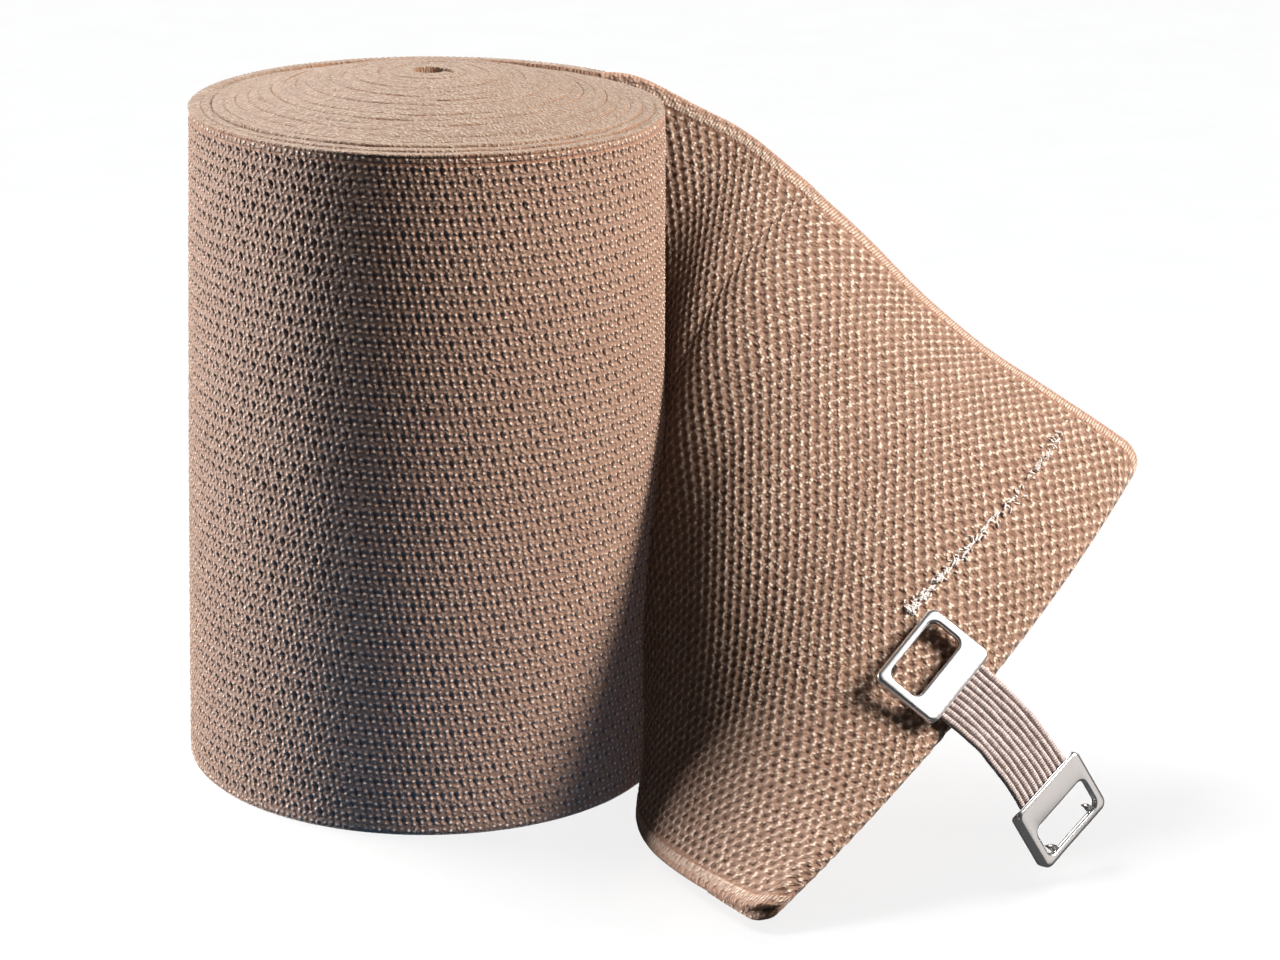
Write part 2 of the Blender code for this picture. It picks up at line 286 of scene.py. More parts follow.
def band(v, knit):
    """1 on the plain edges of the strip, 0 on the knit between them."""
    return 1.0 - ramp(v, -0.30, 0.10) * ramp(knit.rows - v, -0.30, 0.10)


def unevenness(u, v, knit):
    """Share from 0 to 1 that differs from stitch to stitch."""
    row = np.floor(v)
    column = np.floor(u - row * knit.shift)
    mixed = np.sin(column * 12.9898 + row * 78.233) * 43758.5453
    return mixed - np.floor(mixed)


def outer_relief(u, v):
    """Height of the outer face: slanted holes, each with four raised loops round it."""
    a, b = stitch_cell(u, v, OUTER)
    chance = unevenness(u, v, OUTER)
    hole = blob((a + 0.25 * b) / 0.13, b / (0.20 + 0.10 * chance), 0.40, 1.3)
    loops = 0.0
    for x, y, height in LOOPS:
        loops = np.maximum(loops, height * blob((a - x) / 0.17, (b - y) / 0.17, 0.1, 1.3))
    yarn = 0.5 - 0.5 * np.cos(math.pi * 2 * b)
    knit = (0.16 + 0.06 * chance) * loops + 0.05 * yarn - (0.17 + 0.12 * chance) * hole
    beads = 0.12 * np.abs(np.sin(math.pi * 2 * u)) - 0.02
    edge = band(v, OUTER)
    return knit * (1 - edge) + beads * edge


def inner_relief(u, v):
    """Height of the inner face: pits, raised loops between them and faint zigzag yarns."""
    a, b = stitch_cell(u, v, INNER)
    chance = unevenness(u, v, INNER)
    pit = blob((a + 0.2 * b) / 0.24, b / 0.31, 0.35, 1.25) * (0.5 + 0.5 * chance)
    loop = blob((np.abs(a) - 0.5 + 0.2 * b * np.sign(a)) / 0.24, b / 0.42, 0.1, 1.2)
    border = np.floor(v + 0.5)
    wave = 0.17 * np.cos(math.pi * 2 * (u - 0.5 - (border - 1) * INNER.shift))
    strand = 1.0 - ramp(np.abs(v - border - wave), 0.06, 0.36)
    knit = 0.05 * strand + 0.17 * loop - 0.28 * pit
    ribs = 0.10 * np.abs(np.sin(math.pi * 2 * u)) * ramp(np.minimum(v, INNER.rows - v), -0.2, 0.4) + 0.06
    groove = 0.20 * blob((np.minimum(v, INNER.rows - v) - SELVEDGE) / 0.16, 0.0, 0.3, 1.2)
    edge = 1.0 - ramp(np.minimum(v, INNER.rows - v), SELVEDGE - 0.1, SELVEDGE + 0.1)
    return knit * (1 - edge) + ribs * edge - groove


def wander(x, seed, scale):
    """Smooth repeatable unevenness along a length, about -1 to 1."""
    total = 0.0
    for i, weight in enumerate((0.5, 0.3, 0.2)):
        rate = (0.31 + 0.47 * i + 0.13 * math.sin(seed + i)) / scale
        total = total + weight * np.sin(x * rate * FULL_TURN + seed * (1.7 + i))
    return total


# Mesh helpers

def make_piece(name, points, faces, uv, material):
    """Smooth mesh from points in millimetres, four-cornered faces and UVs per point."""
    points = points.reshape(-1, 3)
    uv = uv.reshape(-1, 2)
    mesh = bpy.data.meshes.new(name)
    faces = np.ascontiguousarray(faces, dtype=np.int32)
    mesh.vertices.add(len(points))
    mesh.vertices.foreach_set("co", (points * MM).astype(np.float32).ravel())
    mesh.loops.add(faces.size)
    mesh.loops.foreach_set("vertex_index", faces.ravel())
    mesh.polygons.add(len(faces))
    mesh.polygons.foreach_set("loop_start", np.arange(0, faces.size, faces.shape[1], dtype=np.int32))
    layer = mesh.uv_layers.new(name="strip")
    layer.data.foreach_set("uv", uv[faces.ravel()].astype(np.float32).ravel())
    mesh.update(calc_edges=True)
    mesh.validate()
    mesh.shade_smooth()
    mesh.materials.append(material)
    item = bpy.data.objects.new(name, mesh)
    DRESSED.objects.link(item)
    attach(item, "root")
    return item


def regroup(item, group):
    """Puts a piece into a group that lamps can be kept to."""
    DRESSED.objects.unlink(item)
    group.objects.link(item)


def grid_faces(rows, columns, flip=False, closed=False):
    """Quads of a grid of points stored row by row, ringed round where closed."""
    i = np.arange(rows - 1)[:, None]
    j = np.arange(columns if closed else columns - 1)[None, :]
    k = (j + 1) % columns
    quads = np.stack((i * columns + j, (i + 1) * columns + j, (i + 1) * columns + k, i * columns + k), -1)
    quads = quads.reshape(-1, 4)
    return quads[:, ::-1] if flip else quads


# Node helpers

class Field:
    """A socket of a node tree, with arithmetic that adds the maths nodes."""

    def __init__(self, tree, socket):
        self.tree = tree
        self.socket = socket

    def maths(self, kind, *others):
        node = self.tree.nodes.new("ShaderNodeMath")
        node.operation = kind
        for slot, value in zip(node.inputs, (self, *others)):
            if isinstance(value, Field):
                self.tree.links.new(value.socket, slot)
            else:
                slot.default_value = value
        return Field(self.tree, node.outputs[0])

    def __add__(self, other):
        return self.maths("ADD", other)

    def __sub__(self, other):
        return self.maths("SUBTRACT", other)

    def __mul__(self, other):
        return self.maths("MULTIPLY", other)

    def __truediv__(self, other):
        return self.maths("DIVIDE", other)

    def floor(self):
        return self.maths("FLOOR")

    def size(self):
        return self.maths("ABSOLUTE")

    def sine(self):
        return self.maths("SINE")

    def most(self, other):
        return self.maths("MAXIMUM", other)

    def least(self, other):
        return self.maths("MINIMUM", other)

    def flipped(self):
        return self * -1.0 + 1.0

    def length(self, other):
        return (self * self + other * other).maths("SQRT")

    def ramp(self, low, high):
        node = self.tree.nodes.new("ShaderNodeMapRange")
        node.interpolation_type = "SMOOTHSTEP"
        self.tree.links.new(self.socket, node.inputs["Value"])
        node.inputs["From Min"].default_value = low
        node.inputs["From Max"].default_value = high
        return Field(self.tree, node.outputs["Result"])


class Look:
    """A procedural material under construction."""

    def __init__(self, name):
        self.material = bpy.data.materials.new(name)
        self.material.use_nodes = True
        self.tree = self.material.node_tree
        self.shader = self.tree.nodes["Principled BSDF"]

    def set(self, **values):
        for label, value in values.items():
            self.shader.inputs[label.replace("_", " ")].default_value = value

    def strip(self):
        """Stitch and row coordinates from the UV map."""
        node = self.tree.nodes.new("ShaderNodeUVMap")
        node.uv_map = "strip"
        split = self.tree.nodes.new("ShaderNodeSeparateXYZ")
        self.tree.links.new(node.outputs["UV"], split.inputs[0])
        return Field(self.tree, split.outputs[0]), Field(self.tree, split.outputs[1])

    def vector(self, x, y, z=0.0):
        node = self.tree.nodes.new("ShaderNodeCombineXYZ")
        for slot, value in zip(node.inputs, (x, y, z)):
            if isinstance(value, Field):
                self.tree.links.new(value.socket, slot)
            else:
                slot.default_value = value
        return node.outputs[0]

    def place(self):
        return self.tree.nodes.new("ShaderNodeTexCoord").outputs["Object"]

    def noise(self, vector, scale, detail=2.0, roughness=0.5):
        node = self.tree.nodes.new("ShaderNodeTexNoise")
        self.tree.links.new(vector, node.inputs["Vector"])
        node.inputs["Scale"].default_value = scale
        node.inputs["Detail"].default_value = detail
        node.inputs["Roughness"].default_value = roughness
        return Field(self.tree, node.outputs["Fac"])

    def crumbs(self, vector, scale, uneven=1.0):
        """Distance from the middles of scattered cells, and a number for each cell."""
        node = self.tree.nodes.new("ShaderNodeTexVoronoi")
        self.tree.links.new(vector, node.inputs["Vector"])
        node.inputs["Scale"].default_value = scale
        node.inputs["Randomness"].default_value = uneven
        split = self.tree.nodes.new("ShaderNodeSeparateXYZ")
        self.tree.links.new(node.outputs["Color"], split.inputs[0])
        return Field(self.tree, node.outputs["Distance"]), Field(self.tree, split.outputs[0])

    def chance(self, vector):
        node = self.tree.nodes.new("ShaderNodeTexWhiteNoise")
        node.noise_dimensions = "3D"
        self.tree.links.new(vector, node.inputs["Vector"])
        return Field(self.tree, node.outputs["Value"])

    def blend(self, factor, low, high):
        """Colour that goes from low to high with the factor."""
        node = self.tree.nodes.new("ShaderNodeMix")
        node.data_type = "RGBA"
        self.tree.links.new(factor.socket, node.inputs["Factor"])
        for slot, value in ((node.inputs[6], low), (node.inputs[7], high)):
            if isinstance(value, tuple):
                slot.default_value = (*value, 1.0)
            else:
                self.tree.links.new(value, slot)
        return node.outputs[2]

    def colour(self, socket):
        self.tree.links.new(socket, self.shader.inputs["Base Color"])

    def roughness(self, field):
        self.tree.links.new(field.socket, self.shader.inputs["Roughness"])

    def bump(self, field, depth, strength=1.0):
        node = self.tree.nodes.new("ShaderNodeBump")
        node.inputs["Strength"].default_value = strength
        node.inputs["Distance"].default_value = depth * MM
        self.tree.links.new(field.socket, node.inputs["Height"])
        self.tree.links.new(node.outputs[0], self.shader.inputs["Normal"])


# Materials

# YARN_LIGHT is the paler cream yarn; on raised yarn it also serves as a painted highlight
YARN_LIGHT = (0.90, 0.70, 0.56)
YARN = (0.60, 0.40, 0.285)
YARN_DEEP = (0.30, 0.165, 0.105)
# Dark colour laid into the outer knit's holes: painted shade in the holes
HOLE_SHADE = (0.110, 0.042, 0.029)
# SEAM: dark line under the outer face's top rim; on the inner face, painted shade in the selvedge groove and
# on the cloth's edge
SEAM = (0.34, 0.15, 0.08)
# Dark colour laid into the inner knit's pits: painted shade in the pits
PIT_SHADE = (0.26, 0.12, 0.07)
EDGE_DEEP = (0.27, 0.155, 0.095)
EDGE_LIGHT = (0.56, 0.42, 0.305)
# Colour of the rings between wound turns: partly their orange-brown, partly painted shade in the gaps
EDGE_SEAM_SHADE = (0.33, 0.15, 0.075)
THREAD_DEEP = (0.74, 0.65, 0.59)
THREAD_LIGHT = (0.94, 0.90, 0.87)
CORD_DEEP = (0.36, 0.26, 0.235)
CORD_LIGHT = (0.86, 0.755, 0.74)
STEEL_DEEP = (0.74, 0.73, 0.73)
STEEL_LIGHT = (0.88, 0.87, 0.87)
FLOOR_DEEP = (0.86, 0.86, 0.86)
FLOOR_LIGHT = (0.90, 0.90, 0.90)


def cell_of(u, v, knit):
    row = v.floor()
    along = u - row * knit.shift
    return along - along.floor() - 0.5, v - row - 0.5, along.floor(), row


def oval(x, y, core, rim):
    return x.length(y).ramp(core, rim).flipped()


def cloth_finish(look):
    look.set(Roughness=0.52, Sheen_Weight=0.20, Sheen_Roughness=0.4, Specular_IOR_Level=0.5)


def knit_outer():
    look = Look("knit_outer")
    u, v = look.strip()
    from_top = v * -1.0 + OUTER.rows
    plain = (v.ramp(-0.30, 0.10) * from_top.ramp(-0.30, 0.10)).flipped()
    shake = look.noise(look.vector(u * 0.9, v * 0.9), 1.0, 2.0) - 0.5
    a, b, column, row = cell_of(u + shake * 0.20, v + shake * 0.12, OUTER)
    tone = look.chance(look.vector(column, row))
    frayed = look.noise(look.vector(u * 4.5, v * 5.0), 1.0, 3.0, 0.6) - 0.5
    hole = (((a + b * 0.25) / 0.12).length(b / 0.25) + frayed * 1.3 + tone * 0.3).ramp(0.55, 1.30)
    hole = hole.flipped() * plain.flipped()
    middle, number = look.crumbs(look.vector(u * 3.0, v * 3.1), 1.0, 0.9)
    crumb = middle.ramp(0.12, 0.60).flipped()
    loops = None
    for x, y, height in LOOPS:
        loop = oval((a - x + frayed * 0.10) / 0.17, (b - y + frayed * 0.14) / 0.16, 0.15, 1.15) * height
        loops = loops.most(loop) if loops else loop
    fibre = look.noise(look.vector(u * 9.0, v * 14.0), 1.0, 3.0, 0.65)
    patch = look.noise(look.vector(u * 0.10, v * 0.08, 2.0), 1.0, 2.0)
    # Yarn tone that differs at random, with the gaps round the raised loops and crumbs darker as painted
    # shade.
    shade = loops * 0.45 + crumb * 0.28 + fibre * 0.45 + number * 0.15 + patch * 0.20 - 0.42
    base = look.blend(shade.ramp(0.0, 0.9), YARN_DEEP, YARN)
    # Raised loops go towards YARN_LIGHT: partly paler yarn, partly a painted highlight.
    painted_shine = ((loops + crumb * plain * 0.5) * (fibre + number * 0.35 + tone * 0.15)).ramp(0.28, 0.72)
    lit = look.blend(painted_shine, base, YARN_LIGHT)
    seam = (from_top - 0.04).size().ramp(0.06, 0.17).flipped()
    edged = look.blend(seam * 0.8, lit, SEAM)
    # The holes are darkened as painted shade.
    look.colour(look.blend(hole * (tone * 0.35 + 0.55), edged, HOLE_SHADE))
    look.bump(loops * 0.7 + crumb * 0.5 + fibre * 0.5 - hole * 0.9 - seam * 0.4, 0.32, 1.0)
    cloth_finish(look)
    return look.material


def knit_inner():
    look = Look("knit_inner")
    u, v = look.strip()
    shake = look.noise(look.vector(u * 0.8, v * 0.8), 1.0, 2.0) - 0.5
    sway = look.noise(look.vector(u * 0.7, v * 0.7, 4.0), 1.0, 2.0) - 0.5
    a, b, column, row = cell_of(u + shake * 0.24, v + sway * 0.22, INNER)
    tone = look.chance(look.vector(column, row, 3.0))
    frayed = look.noise(look.vector(u * 4.5, v * 4.5), 1.0, 3.0, 0.6) - 0.5
    pit = (((a + b * 0.2) / 0.25).length(b / 0.30) + frayed * 1.2 + tone * 0.3).ramp(0.35, 1.25).flipped()
    loop = oval((a.size() - 0.5 + frayed * 0.08) / 0.25, (b + frayed * 0.12) / 0.42, 0.1, 1.15)
    border = (v + sway * 0.22 + 0.5).floor()
    phase = (u + shake * 0.24 - 0.5 - (border - 1.0) * INNER.shift) * FULL_TURN
    wave = phase.maths("COSINE") * 0.17
    strand = (v + sway * 0.22 - border - wave + frayed * 0.12).size().ramp(0.06, 0.34).flipped()
    middle, number = look.crumbs(look.vector(u * 2.9, v * 2.3), 1.0, 0.8)
    crumb = middle.ramp(0.10, 0.65).flipped()
    fibre = look.noise(look.vector(u * 13.0, v * 9.0), 1.0, 3.0, 0.65)
    patch = look.noise(look.vector(u * 0.13, v * 0.1), 1.0, 2.0)
    shade = strand * 0.10 + loop * 0.30 + crumb * 0.24 + fibre * 0.48 + number * 0.14 + tone * 0.12
    shade = shade + patch * 0.20 - 0.38
    base = look.blend(shade.ramp(0.0, 1.0), YARN_DEEP, YARN)
    # Raised loops and strands go towards YARN_LIGHT: partly paler cream yarn, partly a painted highlight.
    raised = (loop * 0.75 + strand * 0.35 + 0.1) * (crumb * 0.6 + 0.4)
    painted_shine = (raised * (fibre + number * 0.4)).ramp(0.13, 0.40)
    lit = look.blend(painted_shine, base, YARN_LIGHT)
    inward = v.least(v * -1.0 + INNER.rows)
    beads = (u * (FULL_TURN * 2)).sine().size() * fibre
    plain = look.blend((beads + crumb * 0.3).ramp(0.1, 0.8), YARN_DEEP, YARN_LIGHT)
    banded = look.blend(inward.ramp(SELVEDGE - 0.1, SELVEDGE + 0.1).flipped(), lit, plain)
    # Painted shade in the groove beside the selvedge and on the cloth's cut edge.
    groove = (inward - SELVEDGE).size().ramp(0.08, 0.22).flipped()
    groove = groove.most(inward.ramp(-0.35, -0.05).flipped() * 0.7)
    edged = look.blend(groove * 0.8, banded, SEAM)
    pit = pit * inward.ramp(SELVEDGE, SELVEDGE + 0.2)
    # The pits are darkened as painted shade.
    look.colour(look.blend(pit * (tone * 0.4 + 0.4), edged, PIT_SHADE))
    look.bump(strand * 0.2 + loop * 0.5 + crumb * 0.6 + fibre * 0.5 - pit * 0.6, 0.32, 1.0)
    cloth_finish(look)
    return look.material


def knit_edge():
    """Selvedge of the wound turns. Across a turn's edge v goes from -1 to 1."""
    look = Look("knit_edge")
    u, v = look.strip()
    broad = look.noise(look.vector(u * 0.35, v * 0.3), 1.0, 2.0)
    middle, number = look.crumbs(look.vector(u * 4.0, v * 1.6), 1.0, 1.0)
    crumb = middle.ramp(0.10, 0.70).flipped()
    fine = look.noise(look.vector(u * 5.0, v * 3.0, 6.0), 1.0, 4.0, 0.7)
    fibre = look.noise(look.vector(u * 16.0, v * 9.0), 1.0, 3.0, 0.65)
    joint = (v.size() + (broad - 0.5) * 0.9 + (fine - 0.5) * 0.3).ramp(0.80, 1.12)
    shade = crumb * 0.40 + number * 0.25 + fine * 0.60 + fibre * 0.30 + broad * 0.30 - 0.45
    base = look.blend(shade.ramp(0.05, 0.95), EDGE_DEEP, EDGE_LIGHT)
    # Rings between turns: partly the cloth's orange-brown, partly painted shade in the gaps between turns,
    # shown in patches.
    seam_patches = look.noise(look.vector(u * 0.045, v * 0.12, 9.0), 1.0, 2.0)
    seam = joint * seam_patches.ramp(0.36, 0.60)
    look.colour(look.blend(seam * 0.85, base, EDGE_SEAM_SHADE))
    look.bump(crumb * 0.9 + fine * 0.7 + fibre * 0.4 - seam * 0.3, 0.36, 1.0)
    cloth_finish(look)
    return look.material


def white_thread():
    look = Look("white_thread")
    u, v = look.strip()
    ply = ((u * 3.0 + v) * FULL_TURN).sine() * 0.5 + 0.5
    fuzz = look.noise(look.place(), 6000.0, 3.0)
    look.colour(look.blend(ply * 0.6 + fuzz * 0.4, THREAD_DEEP, THREAD_LIGHT))
    look.bump(ply + fuzz * 0.5, 0.06)
    look.set(Roughness=0.6, Sheen_Weight=0.3)
    return look.material


def elastic_cord():
    look = Look("elastic_cord")
    u, v = look.strip()
    wrap = ((u * 2.6 + v) * FULL_TURN).sine() * 0.5 + 0.5
    fuzz = look.noise(look.vector(u * 5.0, v * 14.0), 1.0, 3.0, 0.6)
    middle, number = look.crumbs(look.vector(u * 2.4, v * 5.0), 1.0, 1.0)
    soil = look.noise(look.vector(u * 0.35, v * 0.5), 1.0, 2.0)
    shade = wrap * 0.30 + fuzz * 0.60 + number * 0.30 + soil * 0.25 - 0.30
    look.colour(look.blend(shade.ramp(0.0, 1.0), CORD_DEEP, CORD_LIGHT))
    look.bump(wrap * 0.7 + fuzz * 0.7 + middle * 0.5, 0.16)
    look.set(Roughness=0.5, Sheen_Weight=0.25, Sheen_Roughness=0.35)
    return look.material


def polished_steel():
    look = Look("polished_steel")
    spot = look.place()
    broad = look.noise(spot, 260.0, 3.0)
    stretch = look.tree.nodes.new("ShaderNodeMapping")
    stretch.inputs["Scale"].default_value = (900.0, 9000.0, 2500.0)
    look.tree.links.new(spot, stretch.inputs["Vector"])
    scratch = look.noise(stretch.outputs[0], 1.0, 3.0, 0.6)
    look.roughness(broad * 0.10 + scratch * 0.14 + 0.12)
    look.colour(look.blend(broad, STEEL_DEEP, STEEL_LIGHT))
    look.bump(scratch * 0.35 + broad, 0.02, 0.5)
    look.set(Metallic=1.0)
    return look.material


# Roll

def make_wrap(wrap, material):
    """Outer face of the outermost turn between two turned angles."""
    arc = math.radians(wrap.stop - wrap.start) * ROLL_RADIUS
    turned = np.linspace(wrap.start, wrap.stop, round(arc / wrap.cell) + 1)[:, None]
    height = np.concatenate((WRAP_ENDS[:1], spaced(*WRAP_SPAN, wrap.cell), WRAP_ENDS[1:]))[None, :]
    u = np.radians(turned) * ROLL_RADIUS / OUTER.stitch
    v = (height - EDGE) / OUTER.row
    tuck = np.where((height < WRAP_SPAN[0]) | (height > WRAP_SPAN[1]), -WRAP_TUCK, 0.0)
    swell = 0.22 * wander(turned * 0.64, 2.0, 60.0) * np.sin(height / STRIP_WIDTH * math.pi)
    radius = tapered(turn_radius(turned), height) + HALF_CLOTH + outer_relief(u, v) + tuck + swell
    angle = np.radians(LEAVING_ANGLE + turned)
    level = height - settled(turned) * ramp(height, 90.0, 99.0) + 0 * radius
    points = np.stack((radius * np.cos(angle), radius * np.sin(angle), level), -1)
    uv = np.stack((u + 0 * v, v + 0 * u), -1)
    faces = grid_faces(*radius.shape)
    piece = make_piece(wrap.name, points + AXIS, faces, uv, material)
    regroup(piece, ROLL)
    piece.visible_diffuse = False


# Outline of a turn's cloth, in millimetres, with the look's place across its edge
Ring = namedtuple("Ring", "step height across")
RING = (
    Ring(-0.87, 0.9, -1.3),
    Ring(-0.78, 0.35, -1.0),
    Ring(-0.45, 0.05, -0.5),
    Ring(0.0, 0.0, 0.0),
    Ring(0.45, 0.05, 0.5),
    Ring(0.78, 0.35, 1.0),
    Ring(0.87, 0.9, 1.3),
    Ring(0.87, 98.9, 1.5),
    Ring(0.89, 99.72, 1.12),
    Ring(0.86, 99.89, 1.0),
    Ring(0.70, 99.97, 0.80),
    Ring(0.25, 100.0, 0.32),
    Ring(-0.25, 100.0, -0.32),
    Ring(-0.70, 99.97, -0.80),
    Ring(-0.86, 99.89, -1.0),
    Ring(-0.89, 99.72, -1.12),
    Ring(-0.87, 98.9, -1.5),
)


def settled(turned):
    """Amount by which the heads of the outermost turns sit lower than the rest."""
    turns = turned / 360.0
    fading = np.clip((SETTLED_TURNS - turns) / 1.7, 0.0, 1.0)
    return SETTLED_DEPTH * fading * ramp(turns, 0.0, 0.55)


def make_turns(material):
    """Every wound turn as one closed strip with rounded edges."""
    last = (ROLL_RADIUS - CORE_RADIUS) / TURN_PITCH * 360.0
    fine = np.linspace(0.0, last, 20000)
    length = np.concatenate(([0.0], np.cumsum(np.radians(np.diff(fine)) * turn_radius(fine[1:]))))
    turned = np.interp(np.arange(0.0, length[-1], 0.5), length, fine)[:, None]
    arc = np.interp(turned, fine, length)
    ring = np.array(RING)
    offset, height = ring[None, :, 0], ring[None, :, 1]
    top = ramp(height, 97.0, 99.5)
    first = ramp(turned, 350.0, 362.0)
    wall = (height > 0.6) & (height < 99.0)
    offset = np.where(wall, np.minimum(offset, 0.1 + 0.7 * first), offset)
    radius = turn_radius(turned)
    share = np.minimum((radius + offset * top) / (ROLL_RADIUS - LEVEL_RIM), 1.0)
    rise = DOME_HEIGHT * (1.0 - share**2)
    loose = np.minimum(turned / 360.0, 1.0)
    aside = 0.12 * wander(arc, 3.0, 21.0) * top * loose
    rise = rise + (0.10 * wander(arc, 5.0, 37.0) + 0.08 * wander(arc, 9.0, 7.0)) * top * loose
    rise = rise - settled(turned) * top
    beads = (0.07 + 0.08 * (1 - loose)) * np.abs(np.sin(math.pi * 2 * arc / OUTER.stitch)) * top
    span = tapered(radius, height) + offset * (1 + 0.6 * beads) + aside
    angle = np.radians(LEAVING_ANGLE + turned)
    points = np.stack((span * np.cos(angle), span * np.sin(angle), height + rise + beads - 0.08 * top), -1)
    uv = np.stack((arc / OUTER.stitch + 0 * offset, ring[None, :, 2] + 0 * arc), -1)
    faces = grid_faces(len(turned), len(ring), closed=True)
    piece = make_piece("roll_turns", points + AXIS, faces, uv, material)
    regroup(piece, ROLL)
    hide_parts("bandage_roll")


# Tail

def side_columns(cell):
    """Columns over the width: middle's place, step past the edge, and thickness."""
    turn = np.radians(np.array((0.0, 25.0, 50.0, 72.0)))
    edge = np.stack((0 * turn + HALF_CLOTH, -HALF_CLOTH * np.cos(turn), np.sin(turn)), -1)
    inside = spaced(HALF_CLOTH, STRIP_WIDTH - HALF_CLOTH, cell)
    face = np.stack((inside, 0 * inside, 0 * inside + 1.0), -1)
    other = edge[::-1] * (1, -1, 1)
    other[:, 0] = STRIP_WIDTH - HALF_CLOTH
    return np.concatenate((edge, face, other))


def corner_inset(from_end):
    inside = np.maximum(HEM_CORNER - from_end, 0.0)
    return HEM_CORNER - np.sqrt(HEM_CORNER**2 - inside**2)


def make_face(name, distance, cell, relief, knit, material, inner=True):
    """One face of the tail over distances that run on round the hem's fold."""
    past = distance - TAIL_LENGTH
    folded = np.where(past < FOLD_LENGTH, TAIL_LENGTH, TAIL_LENGTH - past + FOLD_LENGTH)
    run = np.where(past < 0, distance, folded)
    turn = (np.clip(past, 0.0, FOLD_LENGTH) / FOLD_RADIUS)[:, None, None]
    columns = side_columns(cell)
    tip = TAIL_LENGTH + FOLD_RADIUS * (1.0 - np.sin(turn[:, 0, 0]))
    inset = corner_inset(tip - run)[:, None]
    width = columns[None, :, 0]
    width = width + inset * (ramp(STRIP_WIDTH - width, 84.0, 99.25) - ramp(width, 84.0, 99.25))
    middle, along, across, normal = tail_frames(run, width / STRIP_WIDTH)
    middle = middle - normal * FOLD_RADIUS * (1 - np.cos(turn)) + along * FOLD_RADIUS * np.sin(turn)
    normal = normal * np.cos(turn) + along * np.sin(turn)
    stretched = distance + np.clip(past, 0.0, FOLD_LENGTH) * HALF_CLOTH / FOLD_RADIUS
    u = (-stretched / knit.stitch)[:, None] + 0 * width
    v = (columns[None, :, 0] + columns[None, :, 1] - EDGE) / knit.row + 0 * width
    pressed = 0.45 + 0.55 * (ramp(-past, 0.2, 1.4) + ramp(past - FOLD_LENGTH, 0.2, 0.9))[:, None]
    thick = columns[None, :, 2] * (HALF_CLOTH + relief(u, v) * pressed)
    sign = 1.0 if inner else -1.0
    points = middle + across * columns[None, :, 1, None] + normal * sign * thick[..., None]
    uv = np.stack((u, v), -1)
    faces = grid_faces(*u.shape, flip=not inner)
    piece = make_piece(name, points + AXIS, faces, uv, material)
    regroup(piece, CLOTH)
    return piece


def make_tubes(name, spines, sides, radii, material):
    """Thin tubes along spines of points (n, m, 3), with a radius for each point."""
    n, m, _ = spines.shape
    way = unit(np.gradient(spines, axis=1))
    side = unit(np.cross(way, (0.3, 0.2, 1.0)))
    other = np.cross(way, side)
    turn = np.linspace(0, 2 * math.pi, sides, endpoint=False)
    ring = side[:, :, None] * np.cos(turn)[:, None] + other[:, :, None] * np.sin(turn)[:, None]
    points = spines[:, :, None] + ring * np.broadcast_to(radii, (n, m))[..., None, None]
    length = np.linalg.norm(np.diff(spines, axis=1), axis=2).cumsum(1)
    length = np.concatenate((np.zeros((n, 1)), length), 1)[..., None] + 0 * turn
    uv = np.stack((length, turn / FULL_TURN + 0 * length), -1)
    faces = grid_faces(m, sides, closed=True)[None] + (np.arange(n) * m * sides)[:, None, None]
    make_piece(name, points, faces.reshape(-1, 4), uv, material)


def on_tail(run, across, height):
    """Points off the tail's inner face, for arrays of runs, places across and heights."""
    middle, normal = [], []
    for r, a in zip(run, across):
        frames = tail_frames(r, a[:, None] / STRIP_WIDTH)
        middle.append(frames[0][:, 0])
        normal.append(frames[3][:, 0])
    return np.array(middle) + np.array(normal) * height[..., None] + AXIS


def make_tail(outer, inner):
    """Both faces of the open tail, and the hem with its fold, flap and filling."""
    hem_start = TAIL_LENGTH - HEM_DEPTH
    fold_end = TAIL_LENGTH + FOLD_LENGTH
    end = fold_end + HEM_DEPTH
    hem_runs = np.concatenate((
        spaced(hem_start, TAIL_LENGTH, 0.32)[:-1],
        spaced(TAIL_LENGTH, fold_end, 0.16)[:-1],
        spaced(fold_end, end, 0.32),
    ))
    inner_face = make_face(
        "tail_inner_face", spaced(-START_OVERLAP, hem_start, 0.32), 0.32, inner_relief, INNER, inner,
    )
    make_face(
        "tail_hem", hem_runs, 0.32, inner_relief, INNER, inner,
    )
    make_face(
        "tail_outer_face", spaced(-START_OVERLAP, hem_start + 2.0, 0.5), 0.5, outer_relief, OUTER, outer,
        inner=False,
    )
    make_face(
        "tail_hem_back", spaced(hem_start - 0.4, end, 0.8), 0.8, lambda u, v: -0.5 + 0 * u, OUTER, outer,
        inner=False,
    )
    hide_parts("bandage_tail")
    width = np.linspace(3.4, 96.6, 60)[None, :] + 0 * np.arange(3)[:, None]
    run = TAIL_LENGTH - np.array((0.1, 0.9, 1.7))[:, None] + 0 * width
    thick = 0.60 * ramp(np.minimum(width, STRIP_WIDTH - width), 2.6, 4.4)
    make_tubes("hem_core", on_tail(run, width, -FOLD_RADIUS + 0 * width), 8, thick, inner)


def stitch_line(width):
    """Run of the hem's seam at places over the width. It slants towards the clip."""
    return TAIL_LENGTH - HEM_DEPTH + STITCH_FROM_HEM - STITCH_SLANT * np.maximum(SLANT_START - width, 0.0)


